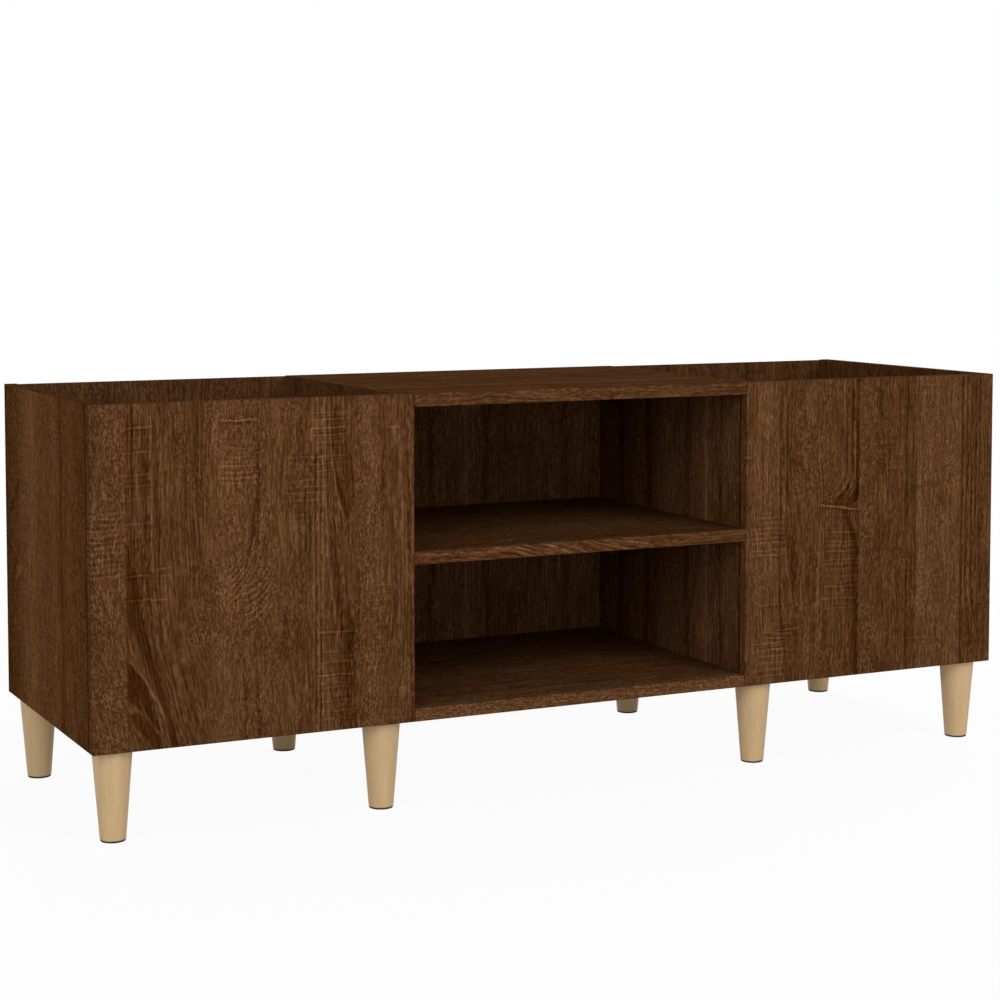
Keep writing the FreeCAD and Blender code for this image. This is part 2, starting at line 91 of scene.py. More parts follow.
# Painted shade in the groove where a board meets another: the board is darker by this tone so far from its front or
# back, or from its sides.
JOINT_TONE = -30
JOINT_REACH, SIDE_JOINT_REACH = 2.2, 1.2
# Seams between printed planks: their tone, and half their width.
SEAM_TONE, SEAM_HALF = -9.0, 0.4
# Inside a streak this dark or darker, the fibres fade by a share, but never below the least share.
DARK_STREAK, STREAK_FADE, LEAST_FIBRES = -15, 0.35, 0.4
# How far fibres fray the edge of a streak.
FRAY = 0.6
# A saw's lines: their strength, and how dark the edges beside a line are for how pale it is.
SAW_STRENGTH, SAW_EDGE = 0.9, 0.4
# Fine threads lie among a saw's lines that are nearer to each other than this.
THREAD_TONE, THREAD_SPACING = 3.2, 12
# The decor's skin over the chipboard, and how soft its edge is.
SKIN, SKIN_EDGE = 0.55, 0.05
# The photograph shows no gloss on the boards. The relief of the grain is in metres.
DECOR_ROUGHNESS, DECOR_GLOSS, DECOR_RELIEF = 0.7, 0.0, 0.06 * MM


def linear(*rgb):
    """An 8-bit picture colour as the linear colour that shaders take."""
    shares = [min(max(value, 0), 255) / 255 for value in rgb]
    return tuple(s / 12.92 if s < 0.04045 else ((s + 0.055) / 1.055) ** 2.4 for s in shares) + (1.0,)


# Shader arithmetic ----------------------------------------------------------------------------------


def feed(tree, socket, value):
    """Links a shade to a socket, or sets the socket to a plain value."""
    if isinstance(value, Shade):
        tree.links.new(value.source, socket)
    else:
        socket.default_value = value


class Shade:
    """A number that varies over a surface, in a node tree. Plain arithmetic works on it."""

    def __init__(self, tree, source):
        self.tree = tree
        self.source = source

    def maths(self, operation, *others):
        made = self.tree.nodes.new("ShaderNodeMath")
        made.operation = operation
        for socket, value in zip(made.inputs, (self, *others)):
            feed(self.tree, socket, value)
        return Shade(self.tree, made.outputs[0])

    def __add__(self, other):
        return self.maths("ADD", other)

    def __sub__(self, other):
        return self.maths("SUBTRACT", other)

    def __mul__(self, other):
        return self.maths("MULTIPLY", other)

    def __truediv__(self, other):
        return self.maths("DIVIDE", other)

    def scaled(self, by, plus):
        return self.maths("MULTIPLY_ADD", by, plus)

    def size(self):
        return self.maths("ABSOLUTE")

    def least(self, other):
        return self.maths("MINIMUM", other)

    def most(self, other):
        return self.maths("MAXIMUM", other)

    def rise(self, low, high):
        """0 at low and 1 at high, with a smooth step between them."""
        made = self.tree.nodes.new("ShaderNodeMapRange")
        made.interpolation_type = "SMOOTHSTEP"
        for name, value in (("Value", self), ("From Min", low), ("From Max", high)):
            feed(self.tree, made.inputs[name], value)
        return Shade(self.tree, made.outputs["Result"])

    def crisp(self, reach):
        """The same with a steeper step round 0: -1 at minus the reach and below, and 1 at the reach and above."""
        return self.rise(-reach, reach).scaled(2.0, -1.0)

    def curve(self, points, smooth=True):
        """What a curve through the points (place, value) gives here. It stays level past its ends."""
        places, values = zip(*points)
        start, span = places[0], places[-1] - places[0]
        bottom, height = min(values), max(values) - min(values)
        if height == 0:
            return self.scaled(0.0, bottom)
        made = self.tree.nodes.new("ShaderNodeFloatCurve")
        made.mapping.extend = "HORIZONTAL"
        line = made.mapping.curves[0].points
        for _ in range(len(points) - 2):
            line.new(0.5, 0.5)
        for spot, place, value in zip(line, places, values):
            spot.location = ((place - start) / span, (value - bottom) / height)
            spot.handle_type = "AUTO_CLAMPED" if smooth else "VECTOR"
        made.mapping.update()
        feed(self.tree, made.inputs["Value"], self.scaled(1 / span, -start / span))
        return Shade(self.tree, made.outputs[0]).scaled(height, bottom)


def noise(across, along, depth, detail=2.0, roughness=0.5):
    """Smooth noise about 0, mostly within 1 of it, at a place given by three numbers."""
    tree = across.tree
    place = tree.nodes.new("ShaderNodeCombineXYZ")
    for socket, value in zip(place.inputs, (across, along, depth)):
        feed(tree, socket, value)
    made = tree.nodes.new("ShaderNodeTexNoise")
    made.inputs["Scale"].default_value = 1.0
    made.inputs["Detail"].default_value = detail
    made.inputs["Roughness"].default_value = roughness
    tree.links.new(place.outputs[0], made.inputs["Vector"])
    return Shade(tree, made.outputs[0]).scaled(4.0, -2.0)


def group(build):
    """A node group that gives the number that build works out from the numbers it is given."""
    names = list(inspect.signature(build).parameters)
    tree = bpy.data.node_groups.new(build.__name__, "ShaderNodeTree")
    for name in names:
        tree.interface.new_socket(name=name, in_out="INPUT", socket_type="NodeSocketFloat")
    tree.interface.new_socket(name="out", in_out="OUTPUT", socket_type="NodeSocketFloat")
    given = tree.nodes.new("NodeGroupInput")
    taken = tree.nodes.new("NodeGroupOutput")
    feed(tree, taken.inputs[0], build(*[Shade(tree, given.outputs[name]) for name in names]))

    def use(*values):
        home = next(value.tree for value in values if isinstance(value, Shade))
        made = home.nodes.new("ShaderNodeGroup")
        made.node_tree = tree
        for socket, value in zip(made.inputs, values):
            feed(home, socket, value)
        return Shade(home, made.outputs[0])

    return use


def ramp(shade, stops):
    """The colour of a shade from 0 to 1, through stops (place, linear colour)."""
    made = shade.tree.nodes.new("ShaderNodeValToRGB")
    while len(made.color_ramp.elements) < len(stops):
        made.color_ramp.elements.new(0.5)
    for element, (place, colour) in zip(made.color_ramp.elements, stops):
        element.position = place
        element.color = colour
    feed(shade.tree, made.inputs["Fac"], shade)
    return Shade(shade.tree, made.outputs["Color"])


def mixed(share, one, other):
    """One colour where the share is 0, and the other where it is 1."""
    tree = share.tree
    made = tree.nodes.new("ShaderNodeMix")
    made.data_type = "RGBA"
    # Inputs 6 and 7 and output 2 are the ones for colours.
    for socket, value in (("Factor", share), (6, one), (7, other)):
        feed(tree, made.inputs[socket], value)
    return Shade(tree, made.outputs[2])


def new_material(name):
    """An empty material, its shader and the three coordinates of a point of the surface."""
    material = bpy.data.materials.new(name)
    material.use_nodes = True
    tree = material.node_tree
    tree.nodes.clear()
    shader = tree.nodes.new("ShaderNodeBsdfPrincipled")
    output = tree.nodes.new("ShaderNodeOutputMaterial")
    tree.links.new(shader.outputs[0], output.inputs["Surface"])
    places = tree.nodes.new("ShaderNodeTexCoord")
    split = tree.nodes.new("ShaderNodeSeparateXYZ")
    tree.links.new(places.outputs["Object"], split.inputs[0])
    return material, shader, [Shade(tree, socket) for socket in split.outputs]


def finish_surface(shader, colour, roughness, height=None, relief=0.0, metal=0.0, gloss=0.5):
    """Gives a shader its colour, roughness and relief, which is how high a height of 1 stands, in metres."""
    tree = colour.tree
    feed(tree, shader.inputs["Base Color"], colour)
    feed(tree, shader.inputs["Roughness"], roughness)
    shader.inputs["Metallic"].default_value = metal
    shader.inputs["Specular IOR Level"].default_value = gloss
    if height is not None:
        bump = tree.nodes.new("ShaderNodeBump")
        bump.inputs["Distance"].default_value = relief
        feed(tree, bump.inputs["Height"], height)
        tree.links.new(bump.outputs[0], shader.inputs["Normal"])


# Sawn-oak decor -------------------------------------------------------------------------------------

# A board's figure:
#   tones   how pale or dark each printed plank is, as points (across, tone)
#   mottle  0 where the grain is plain and 1 where it is curly, as points (across, share)
#   seams   joints between printed planks, each (across, start along, end along)
#   bands   dark or pale streaks that wander along the board
#   marks   groups of pale lines that a saw left across a plank
#   lean    how far the grain runs to one side: points along the board, times a share given by points across it
Figure = namedtuple("Figure", "tones mottle seams bands marks lean", defaults=[None])
# A streak's tone, how soft its edge is, and its points (along, across, half its width), -1 wide where it ends.
Band = namedtuple("Band", "tone soft points")
# A saw's marks: their left and right ends, how far they fall to the right, their lines (along, tone), half a line's
# width, and how much they bend.
Marks = namedtuple("Marks", "left right tilt lines half bend", defaults=[1.8, 0.0])

FRONT_LEFT = Figure(
    tones=[(0, -2), (20, 1), (39.5, 3), (40.5, -5), (75, -4), (100, 0), (125, -4), (150, 8), (174, 4), (190, 0),
           (215, 4), (243, -2), (266, 3), (290, 0), (312, 0), (328, 7), (345, 0), (380, 3)],
    mottle=[(0, 0.7), (38, 0.75), (41, 0.1), (70, 0.05), (100, 0.3), (130, 0.6), (150, 0.7), (190, 0.7), (206, 0.6),
            (220, 0.4), (240, 0.45), (254, 0.2), (300, 0.2), (312, 0.8), (340, 0.6), (352, 0.1), (380, 0.25)],
    seams=[(40, -5, 385), (192, 50, 95), (302, 262, 385)],
    bands=[
        # The long dark plank edge, and the arch that opens downwards beside it.
        Band(-10, 1.2, [(-5, 47, 1), (60, 47, 1.2), (150, 48, 1), (180, 49, -1)]),
        Band(-8, 2, [(22, 62, -1), (36, 61, 4), (90, 61, 4), (150, 60, 4), (200, 66, 4), (215, 67, -1)]),
        Band(-15, 2.2, [(150, 42, -1), (172, 43, 2), (190, 46, 6), (217, 48, 8), (234, 50, 8.5), (249, 55, 8),
                        (261, 58.5, 6.5), (270, 61, 5.5), (282, 66, 4.5), (295, 71, 5.5), (305, 75, 5.5),
                        (319, 79, 6), (327, 81.5, 5), (341, 85, 4), (361, 89, 3.6), (385, 94, 3.6)]),
        Band(-18, 2, [(281, 42, -1), (286, 43.5, 3), (294, 46, 5), (307, 49.5, 8.5), (319, 52.5, 12), (326, 54, 11.5),
                      (331, 57.5, 8.5), (338, 62, 5), (350, 69, 4), (366, 78, -1)]),
        Band(-15, 2, [(336, 42, -1), (341, 49, 8), (352, 57, 9), (362, 65, 8), (375, 74, 7.5), (385, 80, 7)]),
        Band(9, 3, [(262, 43, -1), (270, 45, 4), (278, 46, 4), (286, 44, -1)]),
        Band(7, 3, [(324, 42, -1), (330, 44, 4), (335, 44, 4), (341, 42, -1)]),
        Band(15, 1, [(195, 60, -1), (206, 60, 0.9), (220, 58.5, 1), (240, 60, 1), (263, 65.5, 1.1), (275, 67.5, 1),
                     (288, 71, 1), (300, 77, 1.1), (314, 82, 1), (329, 86, 0.9), (341, 90, 0.9), (358, 97, -1)]),
        Band(12, 1, [(245, 72, -1), (255, 74, 0.9), (283, 80, 1.1), (297, 84, 1.1), (317, 91.5, 0.9), (348, 98, -1)]),
        Band(12, 1, [(205, 80, -1), (226, 80, 1), (245, 81.5, 1), (268, 87, 0.9), (290, 93.5, 0.8), (320, 100, -1)]),
        Band(24, 1, [(280, 45, -1), (290, 50, 0.9), (302, 59, 1.5), (316, 66, 1.6), (329, 74, 1.6), (348, 81, 0.9),
                     (362, 85, -1)]),
        Band(18, 1, [(320, 51, -1), (330, 55, 1), (346, 63, 1.1), (362, 74, 1.2), (385, 83, 1)]),
        Band(10, 1, [(346, 42, -1), (352, 45, 0.8), (362, 52, 1), (385, 62, 1)]),
        Band(-9, 1.2, [(255, 75, -1), (275, 79, 0.9), (305, 90, 1), (335, 98, 1), (370, 108, -1)]),
        Band(-9, 1.2, [(225, 88, -1), (250, 91, 0.9), (290, 100, 1), (330, 109, 0.9), (350, 114, -1)]),
        Band(12, 1, [(-5, 52, 1), (60, 52, 1), (120, 52, 0.8), (140, 51, -1)]),
        Band(12, 1, [(5, 56, 1), (70, 56, 1.2), (130, 57, 1), (160, 57, -1)]),
        Band(13, 1, [(-5, 69, 0.8), (60, 68, 1.2), (150, 68.5, 1.2), (168, 69, 1), (210, 74, -1)]),
        Band(9, 1, [(-5, 80, 0.8), (60, 80, 1), (110, 81, 0.8), (125, 81, -1)]),
        Band(9, 1, [(20, 86, -1), (60, 86, 0.8), (150, 87, 0.8), (190, 87, -1)]),
        Band(-8, 1.2, [(-5, 74, 0.8), (90, 75, 1), (200, 77, 0.8), (230, 82, -1)]),
        Band(-8, 1.5, [(-5, 92, 0.8), (60, 94, 1.2), (140, 96, -1)]),
        Band(-8, 2, [(-5, 118, 3), (70, 120, 3), (110, 123, 1), (130, 124, -1)]),
        Band(-8, 1.4, [(15, 106, -1), (50, 106, 1), (140, 107, 1), (180, 108, -1)]),
        # The slanting streak in the middle.
        Band(-10, 1.6, [(48, 190, -1), (58, 190, 1.6), (96, 190.5, 1.2), (104, 190, -1)]),
        Band(-16, 1.6, [(96, 191, -1), (108, 190, 1.8), (130, 186, 1.6), (150, 184, 1.8), (172, 179, 1.4),
                        (196, 174, -1)]),
        Band(-9, 1.4, [(110, 194, -1), (122, 192, 1.2), (150, 190, 1.4), (176, 186, -1)]),
        Band(10, 1.2, [(112, 197, -1), (130, 195, 1), (160, 193, 1), (180, 190, -1)]),
        Band(-10, 1.5, [(285, 172, -1), (300, 173, 1.2), (350, 174, 1.4), (385, 174, 1.2)]),
        Band(-12, 1.6, [(300, 186, -1), (320, 187, 1.4), (360, 190, 2), (385, 191, 2)]),
        Band(-10, 4, [(238, 222, -1), (250, 222, 3), (285, 220, 4), (300, 220, -1)]),
        Band(-9, 1.6, [(110, 246, -1), (125, 246, 1.4), (190, 247, 1.4), (205, 247, -1)]),
        # The wedge that points down, its pale edge, and the streak below it.
        Band(-9, 3, [(-5, 281, 3), (20, 283, 4), (50, 288, 9), (80, 293, 11), (104, 296, 11), (122, 297.5, 7),
                     (135, 298, 3), (143, 298, -1)]),
        Band(-15, 1.4, [(-5, 277, 0.6), (60, 280, 0.8), (90, 284.5, 1.2), (108, 289, 3), (122, 293.5, 3.6),
                        (135, 296.4, 1.8), (143, 297.4, -1)]),
        Band(17, 1, [(-5, 274.5, 0.7), (60, 278.5, 0.9), (90, 282, 1), (110, 285.5, 1), (126, 290, 1),
                     (142, 295, -1)]),
        Band(-12, 2, [(134, 279, -1), (150, 280, 3.6), (195, 282, 5.5), (222, 286, 6), (242, 291, 7.5),
                      (262, 295, 10), (305, 296, 10.5), (335, 297, 10), (385, 298, 9)]),
        Band(-6, 1.2, [(180, 283, -1), (200, 284, 1), (240, 286, 1.6), (290, 298, 1.6), (340, 300, 1.4),
                       (385, 301, 1)]),
        Band(9, 1, [(236, 291, -1), (262, 292, 1), (300, 290, 1), (350, 292, 1), (385, 293, 1)]),
        Band(14, 1, [(120, 271, 0.6), (190, 274, 1), (220, 278, 1.2), (242, 281, 1), (264, 282, -1)]),
        Band(15, 1, [(-5, 262, 0.8), (100, 262, 1), (240, 262, 1.1), (385, 260, 1.1)]),
        Band(13, 1, [(20, 255.5, 0.8), (150, 256, 1), (260, 256, 1), (385, 255, 1.1)]),
        Band(14, 1, [(-5, 269, 0.8), (60, 268, 0.9), (110, 268, 0.9), (190, 267, 1), (300, 267, 1.2), (385, 269, 1)]),
        Band(-9, 1.2, [(-5, 252, 1), (60, 252, 1), (180, 252, 0.8), (260, 252, -1)]),
        Band(-11, 1.2, [(-5, 265.2, 1), (170, 265, 1), (260, 264.4, 1), (385, 264, 1)]),
        Band(-11, 1.2, [(-5, 259, 1), (170, 259, 1), (300, 258.6, 1), (385, 257.6, 1)]),
        Band(-10, 1.2, [(-5, 272.4, 1), (110, 273, 1), (140, 274, -1)]),
        Band(-6, 2.5, [(190, 310, -1), (215, 310, 2), (270, 310, 2), (290, 310, -1)]),
        Band(-10, 1.4, [(55, 343, -1), (80, 341, 1.4), (140, 341, 1.2), (170, 341, -1)]),
        Band(-11, 1.4, [(125, 353, -1), (150, 354, 1.6), (260, 357, 1.8), (330, 360, -1)]),
        Band(-11, 1.4, [(-5, 371, 1), (100, 372, 1.4), (220, 374, 1.6), (330, 376, 1.4), (385, 377, 1)]),
        Band(11, 1.1, [(60, 364, -1), (90, 365, 1), (160, 365, 1.2), (250, 366, -1)]),
        Band(9, 1.1, [(40, 347, -1), (70, 347, 1), (150, 348, 1), (240, 351, -1)]),
    ],
    marks=[
        Marks(40, 69, -0.05, [(27, 26), (38, 11), (54, 20), (78, 16), (90, 19), (104, 9), (131, 16), (146, 8)]),
        Marks(-3, 33, -0.03, [(60, 6), (119, 9), (124, 12), (131, 14), (137, 12), (143, 14), (149, 12), (155, 14),
                              (161, 16), (168, 11), (175, 10), (181, 9), (187, 10)], 2.1),
        Marks(41, 68, -0.02, [(188, 25), (214, 20)]),
        Marks(72, 88, 0.0, [(181, 20), (189, 11), (215, 14)]),
        Marks(150, 188, 0.01, [(22, 27), (53, 13), (63, 15), (68, 14), (73, 19), (80, 16), (86, 16), (92, 12)], 2.0),
        Marks(155, 182, -0.6, [(189, 12), (196, 15), (203, 18), (210, 20), (218, 18), (226, 18), (234, 16)],
              2.2, -0.02),
        Marks(174, 205, -0.1, [(207, 14), (215, 18), (223, 20), (231, 18), (239, 20), (247, 17), (255, 13)],
              2.1, -0.022),
        Marks(257, 297, -0.02, [(18, 14), (26, 20), (35, 25), (43, 21), (51, 11), (58, 9), (67, 12), (75, 15),
                                (83, 9)]),
        Marks(228, 270, 0.0, [(67, 18), (93, 10), (100, 13), (107, 15), (115, 12), (131, 9), (138, 10)]),
        Marks(261, 302, 0.0, [(267, 22), (289, 12), (301, 15), (316, 27), (325, 11), (330, 18), (346, 13), (357, 10),
                              (366, 11)]),
        Marks(318, 348, 0.03, [(217, 7), (225, 8), (234, 8), (243, 8), (254, 7), (288, 7), (297, 7)]),
        Marks(346, 364, 0.0, [(37, 17), (327, 9), (337, 10), (346, 9), (357, 12), (372, 10)]),
    ],
    lean=([(205, 0), (245, 4), (290, 13), (340, 24), (380, 33)], [(38, 1), (112, 1), (150, 0.4), (172, 0)]),
)

FRONT_RIGHT = Figure(
    tones=[(0, 1), (26, 8), (47, 3), (62, -4), (90, 1), (145, -2), (167.5, -9), (168.5, 1), (200, -4),
           (256, -2), (260, 6), (300, 5), (329, 9), (332, -3), (360, -3), (380, 1)],
    mottle=[(0, 0.4), (45, 0.3), (50, 0), (62, 0.1), (70, 0.4), (110, 0.5), (145, 0.35), (166, 0.1), (170, 0.75),
            (188, 0.7), (200, 0.4), (236, 0.35), (243, 0.15), (258, 0.15), (262, 0.45), (328, 0.55), (333, 0),
            (356, 0), (364, 0.3), (380, 0.3)],
    seams=[(168, -5, 385)],
    bands=[
        Band(-14, 1.4, [(30, 50, -1), (50, 50, 1.6), (150, 51, 1.8), (230, 50, 1.4), (300, 52, 2.4), (330, 54, -1)]),
        Band(-11, 1.4, [(-5, 59, 1.4), (100, 60, 1.4), (160, 60, 1.2), (215, 59, -1)]),
        Band(11, 1.1, [(50, 54, -1), (75, 56, 1), (150, 56, 1), (190, 57, -1)]),
        Band(9, 1.1, [(-5, 30, 0.8), (80, 31, 1), (160, 30, 0.8), (185, 30, -1)]),
        Band(8, 1.1, [(-5, 17, 0.8), (110, 18, 1), (220, 17, 0.8), (300, 17, -1)]),
        Band(-7, 1.2, [(-5, 24, 0.8), (130, 24, 1), (300, 25, 0.8), (385, 24, 0.8)]),
        Band(-14, 2.4, [(190, 64, -1), (215, 67, 6), (240, 70, 5), (262, 70, 3.4), (282, 72.4, 1.8), (294, 74, -1)]),
        Band(16, 1, [(226, 58, -1), (238, 61, 0.8), (262, 66, 1), (280, 69.5, 0.8), (300, 75, -1)]),
        Band(13, 1.1, [(262, 54, -1), (276, 55, 1), (296, 58, 1), (310, 60, -1)]),
        Band(-7, 3, [(205, 96, -1), (225, 96, 7), (252, 96, 9), (276, 97, 7), (294, 100, -1)]),
        Band(12, 1.1, [(212, 106, -1), (226, 107, 1), (256, 107, 1), (276, 106, 1), (294, 101.5, -1)]),
        Band(11, 1.1, [(212, 86, -1), (230, 86, 1), (256, 87, 1), (276, 91, 1), (294, 98, -1)]),
        Band(11, 1.1, [(228, 96, -1), (240, 96, 1), (262, 96, 1), (285, 98.5, -1)]),
        # The lines that bend round the knot beside the plank edge.
        Band(-14, 2, [(-5, 166, 1.4), (110, 166, 2.4), (128, 166.5, 1.8), (146, 165, 2.2), (158, 162, -1)]),
        Band(-13, 1.4, [(-5, 158, 0.8), (112, 158.5, 1.4), (126, 157, 1.6), (136, 152, 1.6), (144, 146, 1.5),
                        (152, 137, -1)]),
        Band(-12, 1.5, [(-5, 150, 0.6), (105, 150.5, 1.2), (121, 148, 1.4), (134, 141, 1.4), (146, 131, -1)]),
        Band(-13, 3, [(128, 160, -1), (138, 158, 7), (146, 153, 13), (152, 151, 16), (157, 149, 15), (161, 152, -1)]),
        Band(19, 1, [(-5, 162, 0.7), (112, 162.3, 1.1), (127, 161, 1.3), (137, 156.5, 1.4), (146, 150, 1.3),
                     (153, 143, -1)]),
        Band(18, 1, [(-5, 154, 0.7), (112, 154.5, 1.1), (125, 152.5, 1.3), (134, 148, 1.4), (143, 141, 1.3),
                     (149, 134, -1)]),
        Band(15, 1, [(-5, 146, 0.7), (105, 146.5, 1), (120, 145, 1.2), (130, 140.5, 1.3), (139, 134, 1.2),
                     (146, 126, -1)]),
        Band(16, 1, [(132, 163, -1), (138, 162, 1.2), (147, 156.5, 1.3), (154, 150, -1)]),
        Band(-15, 2.4, [(166, 146, -1), (175, 149, 4), (190, 156, 4), (205, 162, 4.4), (255, 163, 4), (300, 165, 2.4),
                        (385, 166, 2)]),
        Band(14, 1, [(166, 157, -1), (173, 159, 0.9), (184, 163, 1), (197, 167, -1)]),
        Band(-7, 2, [(-5, 203, 2), (60, 202, 2), (130, 196, -1)]),
        Band(9, 1.2, [(125, 211, -1), (135, 211, 1), (180, 212, 1), (192, 212, -1)]),
        Band(-10, 1.6, [(-5, 243, 1.5), (120, 243, 1.8), (240, 244, 1.6), (385, 243, 2)]),
        Band(-9, 1.6, [(-5, 252, 1.2), (100, 253, 1.4), (180, 253, 1), (260, 252, 1), (385, 253, 1.4)]),
        Band(-9, 1.2, [(60, 257.6, -1), (90, 257.6, 1), (220, 257.6, 1), (385, 257.6, 1)]),
        Band(10, 1.6, [(90, 264, -1), (150, 264, 2), (300, 265, 2.2), (330, 264, -1)]),
        Band(-15, 1.4, [(-5, 331, 1), (110, 331, 1.4), (240, 331, 1.8), (330, 331, 1.8), (385, 333, 1.4)]),
        Band(-12, 1.2, [(-5, 340, 1), (90, 340, 1.4), (200, 338, 1.2), (270, 338, 1.4), (300, 341, 1.4),
                        (345, 348, -1)]),
        Band(-12, 1.2, [(-5, 346, 1), (120, 347, 1.4), (250, 348, 1.4), (290, 350, 1.4), (340, 358, -1)]),
        Band(-11, 1.2, [(-5, 352, 1), (100, 353, 1.2), (230, 354, 1.2), (280, 355, -1)]),
        Band(11, 1, [(-5, 336, 0.6), (120, 336, 0.8), (270, 335, 0.9), (315, 342, 1), (340, 346, -1)]),
        Band(11, 1, [(-5, 343, 0.6), (120, 343.5, 0.8), (280, 344, 0.9), (315, 350, 0.9), (340, 355, -1)]),
        Band(9, 1, [(20, 350, -1), (60, 350, 0.8), (200, 351, 0.8), (280, 352, -1)]),
        Band(-10, 1.2, [(290, 336, -1), (310, 340, 1), (345, 348, 1.2), (385, 352, 1)]),
        Band(-9, 1.6, [(-5, 359, 1), (200, 360, 1.2), (385, 361, 1.2)]),
    ],
    marks=[
        Marks(112, 167, 0.14, [(159, 38)], 2.0),
        Marks(115, 136, -0.1, [(146, 12), (152, 15), (157, 10)], 1.7, -0.014),
        Marks(118, 165, 0.03, [(171, 8), (194, 20), (206, 16), (211, 13), (218, 16), (229, 13), (234, 12), (241, 9),
                               (250, 10), (263, 23), (278, 15), (291, 10)]),
        Marks(9, 58, 0.0, [(170, 9), (177, 10), (184, 12), (190, 14), (196, 16), (202, 16), (211, 18), (217, 16)],
              2.1),
        Marks(24, 58, 0.0, [(280, 15)], 1.9),
        Marks(44, 76, 0.03, [(304, 10), (312, 21), (330, 14)], 1.9),
        Marks(28, 66, 0.1, [(314, 14), (321, 22), (335, 14)], 1.9),
        Marks(14, 62, -0.03, [(329, 23), (338, 21), (346, 19), (354, 12), (363, 15), (370, 15)], 1.9),
        Marks(240, 274, 0.0, [(22, 9), (236, 8), (247, 13), (255, 11), (287, 10), (339, 14)]),
        Marks(266, 294, 0.0, [(11, 12), (171, 12), (346, 10), (352, 9)]),
        Marks(205, 240, 0.02, [(90, 7), (98, 8), (107, 9), (116, 8)]),
        Marks(362, 382, 0.0, [(306, 15)]),
    ],
)

# The left side, from the front to the back.
SIDE_LEFT = Figure(
    tones=[(0, -6), (60, 3), (84, 3), (100, -1), (130, 11), (160, 5), (207, 10), (232, 18), (268, 13), (300, 1),
           (345, -8), (362, -16)],
    mottle=[(0, 0.7), (80, 0.6), (100, 0.1), (150, 0.5), (210, 0.4), (300, 0.8), (362, 0.9)],
    seams=[],
    bands=[
        Band(-9, 3, [(-5, 103, 3), (200, 104, 3), (385, 100, 4)]),
        Band(-12, 4, [(105, 288, -1), (118, 298, 5), (132, 315, 6), (146, 330, 6), (156, 340, -1)]),
        Band(15, 3, [(184, 345, -1), (190, 337, 3), (198, 322, 4), (205, 305, 3), (210, 296, -1)]),
        Band(14, 4, [(212, 290, -1), (222, 300, 6), (230, 312, 5), (236, 322, -1)]),
        Band(-10, 4, [(196, 300, -1), (212, 315, 5), (240, 330, 5), (262, 345, -1)]),
    ],
    marks=[
        Marks(102, 136, 0.0, [(30, 7), (37, 8), (44, 10), (51, 8), (58, 7), (96, 5)]),
        Marks(-2, 30, 0.0, [(74, 5), (86, 6), (100, 6), (110, 6), (122, 5), (138, 5)]),
        Marks(8, 68, -0.08, [(228, 7), (237, 9), (245, 8), (255, 10), (262, 7), (274, 7), (285, 8), (300, 8),
                             (310, 7), (322, 7), (335, 6), (350, 6)]),
        Marks(122, 165, 0.0, [(240, 7), (258, 6), (281, 9), (289, 10), (297, 10), (305, 10), (312, 8)]),
        Marks(200, 288, 0.0, [(165, 6), (173, 6), (181, 8), (190, 10), (200, 8), (226, 8), (236, 10), (244, 9),
                              (255, 7), (276, 6), (290, 6), (308, 8), (318, 6), (330, 8), (345, 8), (357, 6)]),
        Marks(300, 362, 0.12, [(190, 8), (204, 6), (222, 8), (250, 6)]),
    ],
    lean=([(100, 0), (150, 6), (200, 9), (260, 0)], [(290, 0), (320, 1), (362, 1)]),
)

